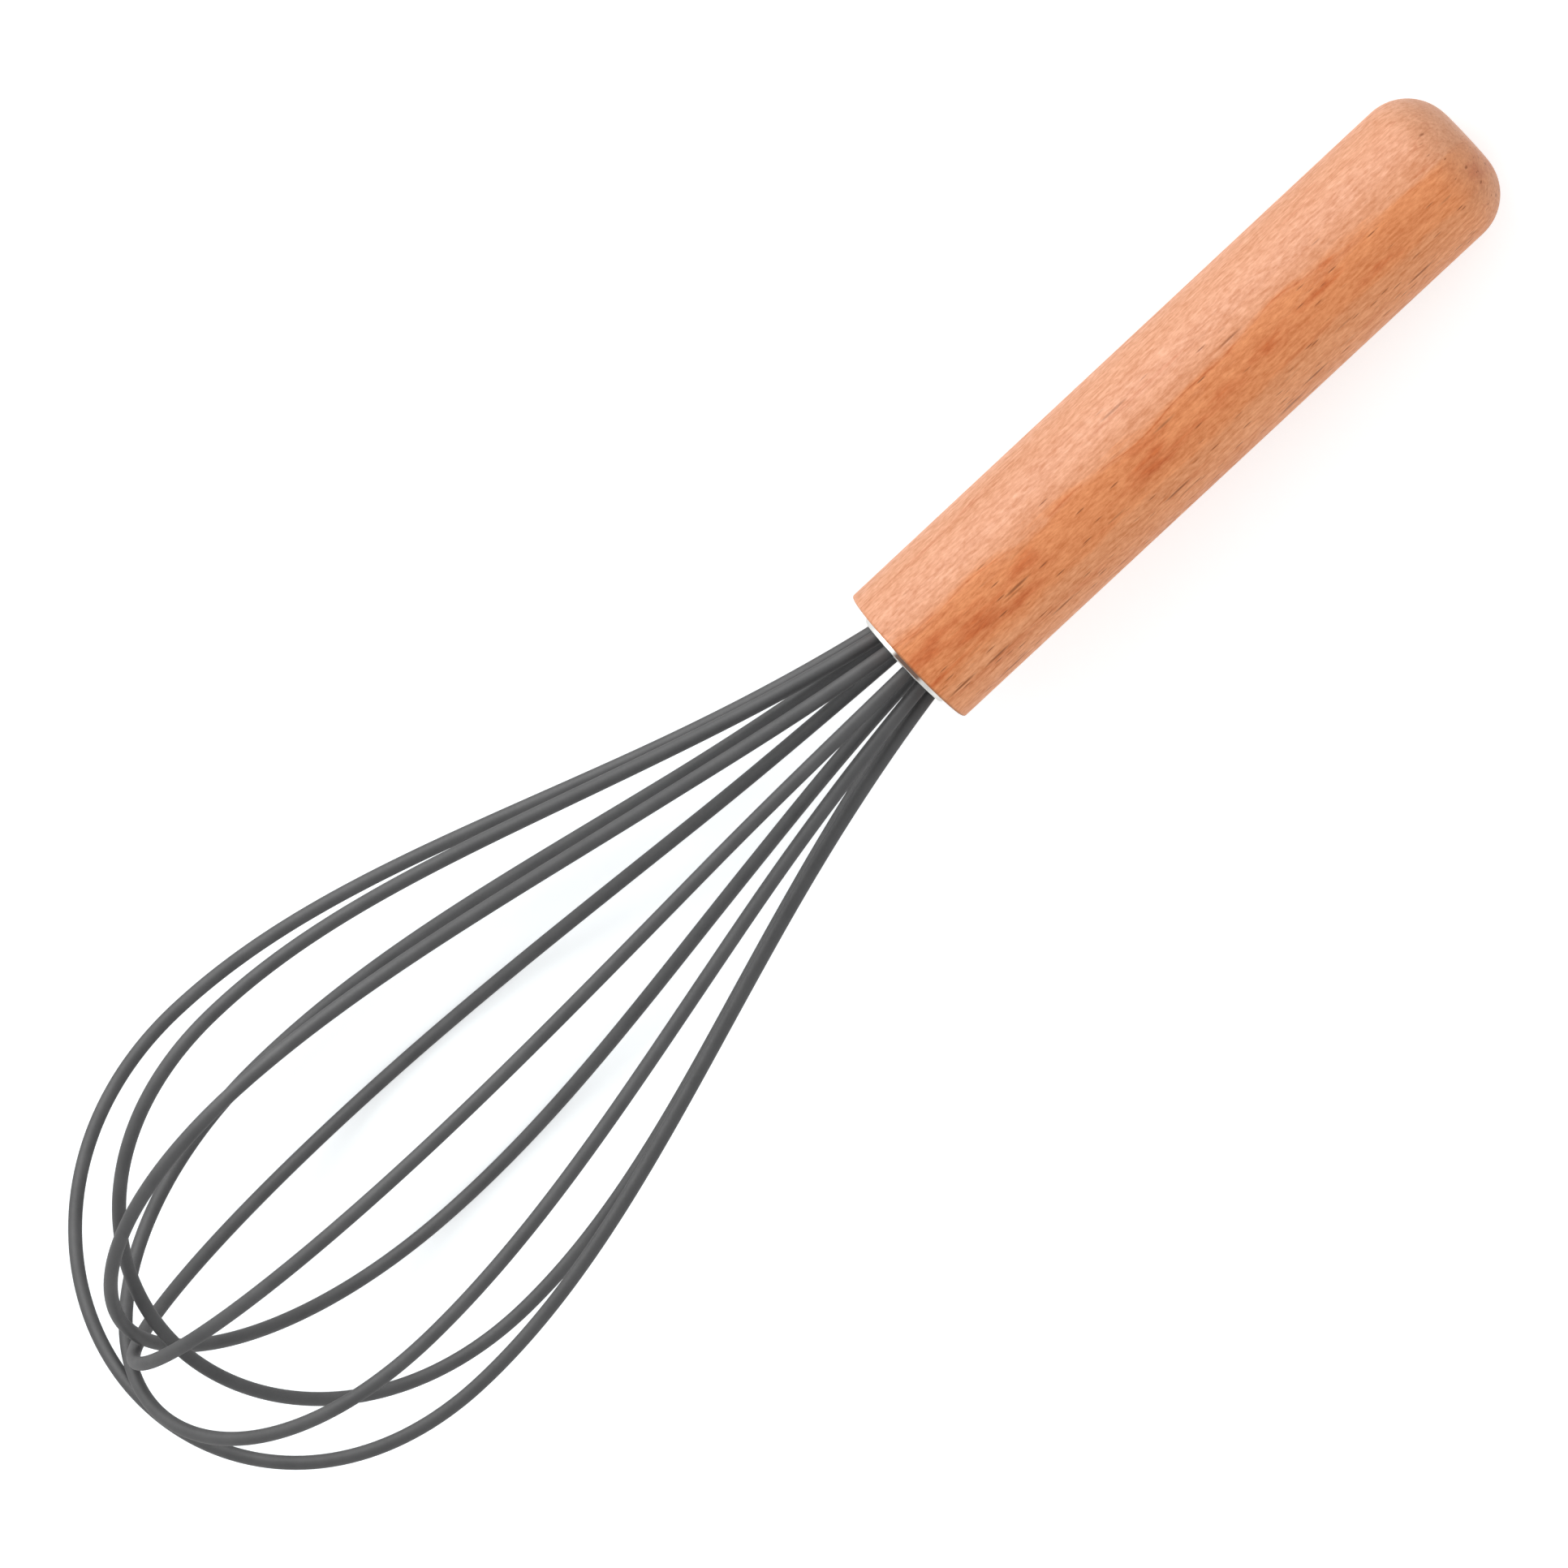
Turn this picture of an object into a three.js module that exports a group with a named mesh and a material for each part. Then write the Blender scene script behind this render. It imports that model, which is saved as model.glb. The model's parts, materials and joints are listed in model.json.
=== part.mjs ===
// A balloon whisk: a turned beech handle, a steel ferrule in its mouth, and five crossing loops of
// spring wire in silicone covers, whose bare ends are cast into a resin plug inside the ferrule.
// Lengths are in millimetres and angles in degrees. The whisk is modelled along its own Y axis,
// with the handle's mouth at zero and the balloon above it, and is then laid on a table:
// Z up, the tip towards -X, the butt towards +X, the origin under the middle of its box.
import * as THREE from "three";

// Handle
const HANDLE_DIAMETER = 24;
const HANDLE_LENGTH = 111.2;
const BUTT_EDGE_RADIUS = 7.8;
const MOUTH_EDGE_RADIUS = 0.4;
const DRILL_POINT_ANGLE = 118;

// Ferrule and resin
const FERRULE_DIAMETER = 16.4;
const FERRULE_WALL = 0.5;
const FERRULE_DEPTH = 31.5;
const FERRULE_PROUD = 1;
const ASSEMBLY_GAP = 0.3;

// Covered wire
const COVER_DIAMETER = 2.1;
const WIRE_DIAMETER = 1.2;
const WIRE_CLEARANCE = 0.12;
const COVER_DEPTH = 6;
const LEG_CLEARANCE = 0.3;
const LEG_FLARE_ANGLE = 11.7;
const MOUTH_TWIST_ANGLE = 4.2;
const MOUTH_TWIST_HEIGHT = 40;

// Balloon: its radius, the innermost loop's tip, and how the bends of every loop are drawn
const BALLOON_RADIUS = 38;
const BALLOON_LENGTH = 147.7;
const BALLOON_LEAN_ANGLE = 0.38;
const FLARE_STRETCH = 0.396;
const BELLY_STRETCH = 0.305;
const SHOULDER_STRETCH = 0.631;
const CROWN_STRETCH = 0.503;

// The loops from the outermost to the innermost, bent by hand and so a little uneven. Each lies in a plane
// turned about the axis by its angle. Its fatness is a share of the balloon's radius, and its belly lies at a
// share of its own height. The rest are in cover diameters: its tip's step above the next loop's tip, how far
// its middle bows out of its plane, and how far its tip strays sideways and up.
const LOOPS = [
  { plane: 153.4, fatness: 1.037, bellyAt: 0.741, step: 0.71, bow: 0.07, across: -0.44, up: -2.55 },
  { plane: 127.9, fatness: 0.991, bellyAt: 0.736, step: 1.29, bow: -0.28, across: -1.88, up: 0.66 },
  { plane: 99.6, fatness: 0.923, bellyAt: 0.681, step: 1.24, bow: 0.09, across: 0.59, up: 0.99 },
  { plane: 64.3, fatness: 1.04, bellyAt: 0.726, step: 1.48, bow: 0.5, across: 1.64, up: 0.96 },
  { plane: 34.4, fatness: 1, bellyAt: 0.736, step: 0, bow: 0.23, across: -1.2, up: 0.18 },
];

// Facets
const TURNED_SEGMENTS = 48;
const COVER_SIDES = 8;
const WIRE_SIDES = 6;
const BEND_STEPS = 2;
const BODY_STEPS = 10;
const CROWN_STEPS = 11;
const ROUNDING_STEPS = 6;
const SETTLE_STEPS = 40;

// Sizes that follow from those above
const handleRadius = HANDLE_DIAMETER / 2;
const ferruleRadius = FERRULE_DIAMETER / 2;
const ferruleBoreRadius = ferruleRadius - FERRULE_WALL;
const socketRadius = ferruleRadius + ASSEMBLY_GAP;
const socketDepth = FERRULE_DEPTH + ASSEMBLY_GAP;
const plugRadius = ferruleBoreRadius - ASSEMBLY_GAP;
const plugTop = -(COVER_DEPTH + ASSEMBLY_GAP);
const coverRadius = COVER_DIAMETER / 2;
const wireRadius = WIRE_DIAMETER / 2;
const wireBoreRadius = wireRadius + WIRE_CLEARANCE;
const flareSlope = Math.tan(THREE.MathUtils.degToRad(LEG_FLARE_ANGLE));
const mouthRingRadius = ferruleBoreRadius - coverRadius - LEG_CLEARANCE;
const plugRingRadius = mouthRingRadius - (flareSlope * COVER_DEPTH) / 2;

const beech = { color: 0xdba878, roughness: 0.55, metalness: 0 };
const steel = { color: 0xc9c9c6, roughness: 0.28, metalness: 1 };
const resin = { color: 0xb9ab8c, roughness: 0.4, metalness: 0 };
const silicone = { color: 0x4a4a4c, roughness: 0.7, metalness: 0 };

function namedMesh(name, geometry, finish) {
  const mesh = new THREE.Mesh(geometry, new THREE.MeshStandardMaterial(finish));
  mesh.name = name;
  return mesh;
}

// Points of an arc in a turned profile, from one angle to another.
function profileArc(centre, radius, startAngle, endAngle) {
  const points = [];
  for (let step = 0; step <= ROUNDING_STEPS; step += 1) {
    const angle = THREE.MathUtils.degToRad(startAngle + ((endAngle - startAngle) * step) / ROUNDING_STEPS);
    points.push(new THREE.Vector2(centre.x + radius * Math.cos(angle), centre.y + radius * Math.sin(angle)));
  }
  return points;
}

// The handle is turned from one piece: flat butt, rounded edge, straight grip, square mouth,
// and a drilled socket with the cone that the drill leaves at its end.
function handleGeometry() {
  const drillCone = socketRadius / Math.tan(THREE.MathUtils.degToRad(DRILL_POINT_ANGLE / 2));
  const buttCentre = new THREE.Vector2(handleRadius - BUTT_EDGE_RADIUS, BUTT_EDGE_RADIUS - HANDLE_LENGTH);
  const mouthCentre = new THREE.Vector2(handleRadius - MOUTH_EDGE_RADIUS, -MOUTH_EDGE_RADIUS);
  const profile = [
    new THREE.Vector2(0, -HANDLE_LENGTH),
    ...profileArc(buttCentre, BUTT_EDGE_RADIUS, -90, 0),
    ...profileArc(mouthCentre, MOUTH_EDGE_RADIUS, 0, 90),
    new THREE.Vector2(socketRadius, 0),
    new THREE.Vector2(socketRadius, -socketDepth),
    new THREE.Vector2(0, -socketDepth - drillCone),
  ];
  return new THREE.LatheGeometry(profile, TURNED_SEGMENTS);
}

// The ferrule is a thin drawn sleeve with a rounded rim, which stands a little proud of the wood.
function ferruleGeometry() {
  const rimRadius = FERRULE_WALL / 2;
  const rimCentre = new THREE.Vector2(ferruleRadius - rimRadius, FERRULE_PROUD - rimRadius);
  const profile = [
    new THREE.Vector2(ferruleBoreRadius, -FERRULE_DEPTH),
    new THREE.Vector2(ferruleRadius, -FERRULE_DEPTH),
    ...profileArc(rimCentre, rimRadius, 0, 180),
    new THREE.Vector2(ferruleBoreRadius, -FERRULE_DEPTH),
  ];
  return new THREE.LatheGeometry(profile, TURNED_SEGMENTS);
}

// The resin plug is a disc with one hole for each bare wire end, extruded along the axis.
function plugGeometry() {
  const outline = new THREE.Shape();
  outline.absarc(0, 0, plugRadius, 0, 2 * Math.PI);
  for (const loop of LOOPS) {
    for (const side of [0, Math.PI]) {
      const angle = THREE.MathUtils.degToRad(loop.plane + MOUTH_TWIST_ANGLE) + side;
      outline.holes.push(holeOutline(plugRingRadius * Math.cos(angle), plugRingRadius * Math.sin(angle)));
    }
  }
  const plugLength = FERRULE_DEPTH + plugTop;
  const geometry = new THREE.ExtrudeGeometry(outline, {
    depth: plugLength,
    bevelEnabled: false,
    curveSegments: TURNED_SEGMENTS,
  });
  geometry.rotateX(Math.PI / 2);
  geometry.translate(0, plugTop, 0);
  return geometry;
}

function holeOutline(x, y) {
  const corners = [];
  for (let corner = 0; corner < COVER_SIDES; corner += 1) {
    const angle = (2 * Math.PI * corner) / COVER_SIDES;
    const radius = wireBoreRadius / Math.cos(Math.PI / COVER_SIDES);
    corners.push(new THREE.Vector2(x + radius * Math.cos(angle), y + radius * Math.sin(angle)));
  }
  return new THREE.Path(corners);
}

// One leg of a loop in its own plane, from the bare end in the resin to the tip: radius across, height up.
function legOutline(loop) {
  const { tipHeight } = loop;
  const bellyRadius = loop.fatness * BALLOON_RADIUS;
  const bellyHeight = loop.bellyAt * tipHeight;
  const point = (radius, height) => new THREE.Vector2(radius, height);
  const mouth = point(mouthRingRadius, 0);
  const belly = point(bellyRadius, bellyHeight);
  const bend = new THREE.QuadraticBezierCurve(
    point(plugRingRadius, -COVER_DEPTH),
    point(plugRingRadius, -COVER_DEPTH / 2),
    mouth,
  );
  const flareHeight = FLARE_STRETCH * bellyHeight;
  const body = new THREE.CubicBezierCurve(
    mouth,
    point(mouthRingRadius + flareSlope * flareHeight, flareHeight),
    point(bellyRadius, (1 - BELLY_STRETCH) * bellyHeight),
    belly,
  );
  const crown = new THREE.CubicBezierCurve(
    belly,
    point(bellyRadius, bellyHeight + SHOULDER_STRETCH * (tipHeight - bellyHeight)),
    point(CROWN_STRETCH * bellyRadius, tipHeight),
    point(0, tipHeight),
  );
  return [
    point(plugRingRadius, -FERRULE_DEPTH),
    ...bend.getPoints(BEND_STEPS),
    ...body.getPoints(BODY_STEPS).slice(1),
    ...crown.getPoints(CROWN_STEPS).slice(1),
  ];
}

// A loop's centre line: one leg up, its mirror image down, turned to the loop's plane. The legs are twisted
// a little about the axis where they enter the ferrule, and the balloon leans a little off that axis. The
// loop bows most at half its height, and its tip strays by the height squared.
function loopPath(loop) {
  const up = legOutline(loop);
  const down = up.slice(0, -1).reverse().map((point) => new THREE.Vector2(-point.x, point.y));
  const leanSlope = Math.tan(THREE.MathUtils.degToRad(BALLOON_LEAN_ANGLE));
  return [...up, ...down].map((point) => {
    const height = Math.max(point.y, 0);
    const share = height / loop.tipHeight;
    const twist = MOUTH_TWIST_ANGLE * Math.max(1 - height / MOUTH_TWIST_HEIGHT, 0) ** 2;
    const angle = THREE.MathUtils.degToRad(loop.plane + twist);
    const bow = COVER_DIAMETER * loop.bow * 4 * share * (1 - share);
    const stray = COVER_DIAMETER * share ** 2;
    const across = point.x * Math.cos(angle) + bow * Math.sin(angle) + loop.across * stray;
    const raised = point.x * Math.sin(angle) - bow * Math.cos(angle) + loop.up * stray;
    return new THREE.Vector3(across + leanSlope * height, point.y, raised);
  });
}

// Directions square to a path at each of its points, carried along without twisting.
function pathFrames(path) {
  const frames = [];
  let across = new THREE.Vector3(0, 0, 1);
  path.forEach((point, index) => {
    const before = path[Math.max(index - 1, 0)];
    const after = path[Math.min(index + 1, path.length - 1)];
    const incoming = point.clone().sub(before).normalize();
    const outgoing = after.clone().sub(point).normalize();
    const along = incoming.add(outgoing).normalize();
    across = across.clone().addScaledVector(along, -across.dot(along)).normalize();
    frames.push({ point, along, across, square: along.clone().cross(across) });
  });
  return frames;
}

// The corners of a round section drawn with a few flat sides, which keep the area of the circle.
function sectionShape(radius, sides) {
  const turn = (2 * Math.PI) / sides;
  const reach = radius * Math.sqrt(turn / Math.sin(turn));
  const corners = [];
  for (let corner = 0; corner < sides; corner += 1) {
    const angle = turn * corner;
    corners.push(new THREE.Vector2(reach * Math.cos(angle), reach * Math.sin(angle)));
  }
  return corners;
}

// A section's corners placed at one point of a path.
function ringCorners(frame, section) {
  return section.map((corner) => {
    const place = frame.point.clone().addScaledVector(frame.across, corner.x);
    return place.addScaledVector(frame.square, corner.y);
  });
}

// A closed tube along the frames, solid or with a bore. The side walls join ring to ring,
// and the ends are filled with the section's own triangles.
function tubeGeometry(frames, radius, sides, boreRadius, boreSides) {
  const contour = sectionShape(radius, sides);
  const walls = [{ section: contour, inward: false }];
  const holes = [];
  if (boreRadius) {
    const bore = sectionShape(boreRadius, boreSides);
    walls.push({ section: bore, inward: true });
    holes.push([...bore].reverse());
  }
  const corners = [];
  const triangle = (a, b, c, flip) => corners.push(...(flip ? [a, c, b] : [a, b, c]));
  for (const wall of walls) {
    const rings = frames.map((frame) => ringCorners(frame, wall.section));
    for (let step = 0; step < rings.length - 1; step += 1) {
      for (let corner = 0; corner < wall.section.length; corner += 1) {
        const next = (corner + 1) % wall.section.length;
        triangle(rings[step][corner], rings[step][next], rings[step + 1][next], wall.inward);
        triangle(rings[step][corner], rings[step + 1][next], rings[step + 1][corner], wall.inward);
      }
    }
  }
  const section = [...contour, ...holes.flat()];
  for (const [frame, flip] of [[frames[0], true], [frames[frames.length - 1], false]]) {
    const places = ringCorners(frame, section);
    for (const [a, b, c] of THREE.ShapeUtils.triangulateShape(contour, holes)) {
      triangle(places[a], places[b], places[c], flip);
    }
  }
  const geometry = new THREE.BufferGeometry().setFromPoints(corners);
  geometry.computeVertexNormals();
  return geometry;
}

// Lowest corner of some meshes under a turn, among those that a test picks.
function lowestCorner(meshes, turn, picks) {
  const lowest = new THREE.Vector3(0, 0, Infinity);
  const corner = new THREE.Vector3();
  for (const mesh of meshes) {
    const places = mesh.geometry.getAttribute("position");
    for (let index = 0; index < places.count; index += 1) {
      corner.fromBufferAttribute(places, index).applyEuler(turn);
      if (corner.z < lowest.z && picks(corner)) {
        lowest.copy(corner);
      }
    }
  }
  return lowest;
}

// The turn at which the whisk lies still: it rests on its butt and on the lowest wire on each side.
function lyingTurn(handle, covers) {
  const turn = new THREE.Euler(0, 0, 0, "ZXY");
  for (let step = 0; step < SETTLE_STEPS; step += 1) {
    const left = lowestCorner(covers, turn, (corner) => corner.x < 0);
    const right = lowestCorner(covers, turn, (corner) => corner.x > 0);
    const butt = lowestCorner([handle], turn, () => true);
    const wire = left.z < right.z ? left : right;
    turn.y += Math.atan2(right.z - left.z, right.x - left.x);
    turn.x += Math.atan2(butt.z - wire.z, wire.y - butt.y);
  }
  turn.z = Math.PI / 2;
  return turn;
}

// The tips stack from the innermost loop outwards.
let tipHeight = BALLOON_LENGTH;
for (const loop of [...LOOPS].reverse()) {
  tipHeight += loop.step * COVER_DIAMETER;
  loop.tipHeight = tipHeight;
}

const handle = namedMesh("handle", handleGeometry(), beech);
const ferrule = namedMesh("ferrule", ferruleGeometry(), steel);
const resinPlug = namedMesh("resin_plug", plugGeometry(), resin);
const covers = [];
const wires = [];
LOOPS.forEach((loop, index) => {
  const name = `loop_${index + 1}`;
  const frames = pathFrames(loopPath(loop));
  const wire = tubeGeometry(frames, wireRadius, WIRE_SIDES);
  const cover = tubeGeometry(frames.slice(1, -1), coverRadius, COVER_SIDES, wireBoreRadius, WIRE_SIDES);
  wires.push(namedMesh(`${name}_wire`, wire, steel));
  covers.push(namedMesh(`${name}_cover`, cover, silicone));
});

const whisk = new THREE.Group();
whisk.add(handle, ferrule, resinPlug, ...wires, ...covers);
whisk.rotation.copy(lyingTurn(handle, covers));

const part = new THREE.Group();
part.add(whisk);
part.updateMatrixWorld(true);
const box = new THREE.Box3().setFromObject(part, true);
whisk.position.set(-(box.min.x + box.max.x) / 2, -(box.min.y + box.max.y) / 2, -box.min.z);

export default part;
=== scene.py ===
# %% [markdown]
# A balloon whisk, dressed for its picture
#
# The whisk has a turned beech handle, a steel ferrule in the handle's mouth and five crossing loops of
# spring wire in dark grey silicone covers. The solids give the sizes and the pose: it lies on a table,
# tip towards -X. This lesson reads that pose, makes each visible piece again with a fine surface, and
# paints it with nodes.

# %% Load the frame
import json
import math

import bmesh
import bpy
from mathutils import Matrix, Vector


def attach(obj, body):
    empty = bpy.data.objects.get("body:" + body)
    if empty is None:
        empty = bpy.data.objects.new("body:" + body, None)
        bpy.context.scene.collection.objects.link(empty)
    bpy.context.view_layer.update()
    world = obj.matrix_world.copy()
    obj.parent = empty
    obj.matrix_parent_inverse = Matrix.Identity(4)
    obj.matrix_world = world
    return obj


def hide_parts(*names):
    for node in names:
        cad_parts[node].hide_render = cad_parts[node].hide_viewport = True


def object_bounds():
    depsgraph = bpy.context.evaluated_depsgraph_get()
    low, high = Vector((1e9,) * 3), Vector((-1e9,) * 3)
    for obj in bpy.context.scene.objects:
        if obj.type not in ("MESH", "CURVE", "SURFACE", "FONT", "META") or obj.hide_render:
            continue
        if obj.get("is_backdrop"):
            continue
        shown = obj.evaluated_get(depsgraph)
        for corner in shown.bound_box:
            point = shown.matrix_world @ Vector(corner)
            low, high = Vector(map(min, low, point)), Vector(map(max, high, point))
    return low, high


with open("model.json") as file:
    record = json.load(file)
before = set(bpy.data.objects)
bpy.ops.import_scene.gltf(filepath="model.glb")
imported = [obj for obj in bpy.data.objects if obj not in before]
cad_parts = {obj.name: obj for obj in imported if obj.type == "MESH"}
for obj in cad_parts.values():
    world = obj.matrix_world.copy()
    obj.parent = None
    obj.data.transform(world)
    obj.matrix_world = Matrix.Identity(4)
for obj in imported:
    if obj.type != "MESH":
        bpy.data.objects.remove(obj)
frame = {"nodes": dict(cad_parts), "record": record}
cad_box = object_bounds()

MM = 0.001


def in_mm(lengths):
    """Lengths in metres as rounded millimetres, for printing."""
    return [round(length / MM, 2) for length in lengths]


print("solids:", len(frame["nodes"]), "box in mm:", in_mm(cad_box[1] - cad_box[0]))

# %% [markdown]
# Where the whisk lies
#
# Everything on a whisk is drawn along its own axis, but it lies tilted on the table, because its
# balloon is fatter than its handle. The pose could be typed in as angles. It is safer to read it from
# the solids: the flat of the butt, which the record states, gives the axis and the mouth.

# %% The whisk's axis
HANDLE_LENGTH = 111.2 * MM

butt = frame["record"]["mounts"][0]
along = -Vector(butt["axis"]).normalized()
mouth = Vector(butt["pos_m"]) + HANDLE_LENGTH * along
tilt = math.degrees(math.asin(along.z))
print("mouth of the handle in mm:", in_mm(mouth), "tilt in degrees:", round(tilt, 2))

# %% [markdown]
# The turn about the axis
#
# A round handle doesn't show how far the whisk is rolled over, but its wires do. Two ends of one wire
# stand opposite each other deep in the handle. The upper one gives a direction square to the axis, and
# the known angle of that wire gives the whisk's own axes: across, along and upward.

# %% The turn about the axis
FIRST_WIRE_TURN = math.radians(157.6)
END_SLICE = 0.1 * MM


def upper_wire_end(node):
    """The direction from the axis to the upper of a wire's two ends in the handle."""
    offsets = [vertex.co - mouth for vertex in frame["nodes"][node].data.vertices]
    deepest = min(offset.dot(along) for offset in offsets)
    ends = [offset for offset in offsets if offset.dot(along) < deepest + END_SLICE]
    mean_height = sum(end.z for end in ends) / len(ends)
    upper = [end for end in ends if end.z > mean_height]
    middle = sum(upper, Vector()) / len(upper)
    return (middle - middle.dot(along) * along).normalized()


wire_direction = upper_wire_end("loop_1_wire")
wire_square = wire_direction.cross(along)
across = math.cos(FIRST_WIRE_TURN) * wire_direction - math.sin(FIRST_WIRE_TURN) * wire_square
upward = math.sin(FIRST_WIRE_TURN) * wire_direction + math.cos(FIRST_WIRE_TURN) * wire_square
whisk_to_table = Matrix.Translation(mouth) @ Matrix((across, along, upward)).transposed().to_4x4()
table_to_whisk = whisk_to_table.inverted()
print("upward from the whisk:", [round(value, 3) for value in upward])

# %% [markdown]
# The view
#
# The photograph is taken from far off with a long lens, so that near and far wires look almost equally
# thick. It looks down on the whisk, a few degrees from the butt's side: the rim of the mouth curves
# towards the balloon. A camera can be aimed by trial, but here its three directions are written in the
# whisk's own axes, so the picture stays right even if the whisk is laid down differently.

# %% Directions of the picture
PHOTO_HANDLE_ANGLE = math.radians(42.98)
CAMERA_TILT = math.radians(4.99)

to_camera = math.cos(CAMERA_TILT) * upward - math.sin(CAMERA_TILT) * along
to_tip = math.cos(CAMERA_TILT) * along + math.sin(CAMERA_TILT) * upward
picture_right = -math.cos(PHOTO_HANDLE_ANGLE) * to_tip - math.sin(PHOTO_HANDLE_ANGLE) * across
picture_up = -math.sin(PHOTO_HANDLE_ANGLE) * to_tip + math.cos(PHOTO_HANDLE_ANGLE) * across
print("towards the camera:", [round(value, 3) for value in to_camera])

# %% [markdown]
# The camera
#
# The picture is square and takes in a known width at the whisk. Width and distance together give the
# lens, so the perspective can be changed by the distance alone without losing the framing.

# %% Camera
CAMERA_DISTANCE = 2500 * MM
AIM_ALONG = 26.02 * MM
AIM_ACROSS = -1.24 * MM
PHOTO_WIDTH_AT_WHISK = 229 * MM
SENSOR_WIDTH = 36


def add_object(name, data):
    """A new object in the scene, at the origin."""
    item = bpy.data.objects.new(name, data)
    bpy.context.scene.collection.objects.link(item)
    return item


camera_data = bpy.data.cameras.new("camera")
camera_data.sensor_width = SENSOR_WIDTH
camera_data.lens = SENSOR_WIDTH * CAMERA_DISTANCE / PHOTO_WIDTH_AT_WHISK
camera = add_object("camera", camera_data)
aim = mouth + AIM_ALONG * along + AIM_ACROSS * across
turned = Matrix((picture_right, picture_up, to_camera)).transposed().to_4x4()
camera.matrix_world = Matrix.Translation(aim + CAMERA_DISTANCE * to_camera) @ turned
bpy.context.scene.camera = camera
print("lens in mm:", round(camera_data.lens, 1))

# %% [markdown]
# Node graphs
#
# Each finish is a small graph of nodes. The nodes could be made, set up and linked line by line, but
# then the recipe drowns in plumbing. One helper makes a node and plugs in its inputs, and another
# starts a material with its shader.

# %% Nodes and materials


def plug_in(tree, node, inputs):
    """Link a node's inputs to sockets, or set them to values, by name or number."""
    for name, value in inputs.items():
        if isinstance(value, bpy.types.NodeSocket):
            tree.links.new(value, node.inputs[name])
        else:
            node.inputs[name].default_value = value


def add_node(tree, kind, inputs=None, **settings):
    """A node of a kind, with its settings and its inputs."""
    node = tree.nodes.new(kind)
    for name, value in settings.items():
        setattr(node, name, value)
    plug_in(tree, node, inputs or {})
    return node


def new_material(name):
    """An empty material with a shader and its output, ready for a recipe."""
    material = bpy.data.materials.new(name)
    material.use_nodes = True
    tree = material.node_tree
    tree.nodes.clear()
    shader = add_node(tree, "ShaderNodeBsdfPrincipled")
    add_node(tree, "ShaderNodeOutputMaterial", {"Surface": shader.outputs["BSDF"]})
    return material, tree, shader


print("helpers made:", [helper.__name__ for helper in (plug_in, add_node, new_material)])

# %% [markdown]
# Sums and soft steps
#
# A pattern starts as numbers, which are scaled, added and cut into soft steps. A short function for
# each of these nodes lets a recipe read like a formula.

# %% Sums and soft steps


def math_node(tree, operation, first, second=0.0):
    return add_node(tree, "ShaderNodeMath", {0: first, 1: second}, operation=operation).outputs[0]


def multiply(tree, first, second):
    return math_node(tree, "MULTIPLY", first, second)


def multiply_add(tree, value, factor, offset):
    inputs = {0: value, 1: factor, 2: offset}
    return add_node(tree, "ShaderNodeMath", inputs, operation="MULTIPLY_ADD").outputs[0]


def rise(tree, value, low, high):
    """A soft step from 0 at one value to 1 at another, which may be the smaller one."""
    inputs = {"Value": value, "From Min": low, "From Max": high}
    step = add_node(tree, "ShaderNodeMapRange", inputs, interpolation_type="SMOOTHSTEP")
    return step.outputs["Result"]


print("helpers made:", [helper.__name__ for helper in (math_node, multiply, multiply_add, rise)])

# %% [markdown]
# Colours
#
# Numbers become colours in two ways: a ramp reads one number as a tone between two, and a mix lays one
# colour over another. The mix node holds sockets for numbers, vectors and colours at once, all with the
# same names, so its colour sockets are picked by number.

# %% Colours
MIX_FACTOR = 0
MIX_FIRST = 6
MIX_SECOND = 7
MIX_RESULT = 2
NOISE_LOW = 0.3
NOISE_HIGH = 0.7


def two_tones(tree, factor, dark, light, low=NOISE_LOW, high=NOISE_HIGH):
    """A ramp from a dark tone to a light one. Most of a noise lies between its usual ends."""
    ramp = add_node(tree, "ShaderNodeValToRGB", {"Fac": factor})
    for element, position, tone in zip(ramp.color_ramp.elements, (low, high), (dark, light)):
        element.position = position
        element.color = (*tone, 1)
    return ramp.outputs["Color"]


def blend_colors(tree, factor, first, second, blend_type="MIX"):
    inputs = {MIX_FACTOR: factor, MIX_FIRST: first, MIX_SECOND: second}
    node = add_node(tree, "ShaderNodeMix", inputs, data_type="RGBA", blend_type=blend_type)
    return node.outputs[MIX_RESULT]


print("helpers made:", [helper.__name__ for helper in (two_tones, blend_colors)])

# %% [markdown]
# Patterns in the whisk's own axes
#
# Flat pictures could be wrapped round the pieces, but they show where they are joined. Object
# coordinates run through a piece like grain through a log. They are the table's, though, and the whisk
# lies askew on it. One Mapping node turns them to the whisk's axes, and a second stretches and shifts
# them.

# %% Coordinates, noise and bump


def whisk_coordinates(tree, stretch=(1, 1, 1), shift=(0, 0, 0)):
    """Object coordinates turned to the whisk's axes (across, along, up), then scaled and shifted."""
    turn = {"Vector": add_node(tree, "ShaderNodeTexCoord").outputs["Object"]}
    turn["Rotation"] = table_to_whisk.to_euler("XYZ")
    turn["Location"] = table_to_whisk.to_translation()
    turned = add_node(tree, "ShaderNodeMapping", turn).outputs["Vector"]
    fit = {"Vector": turned, "Scale": stretch, "Location": shift}
    return add_node(tree, "ShaderNodeMapping", fit).outputs["Vector"]


def whisk_place(tree):
    """A point's X across, Y along and Z up, as three numbers."""
    return add_node(tree, "ShaderNodeSeparateXYZ", {"Vector": whisk_coordinates(tree)}).outputs


def noise(tree, vector, scale, detail, roughness):
    inputs = {"Vector": vector, "Scale": scale, "Detail": detail, "Roughness": roughness}
    return add_node(tree, "ShaderNodeTexNoise", inputs).outputs["Fac"]


def bump(tree, height, strength, depth):
    inputs = {"Height": height, "Strength": strength, "Distance": depth}
    return add_node(tree, "ShaderNodeBump", inputs).outputs["Normal"]


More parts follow.
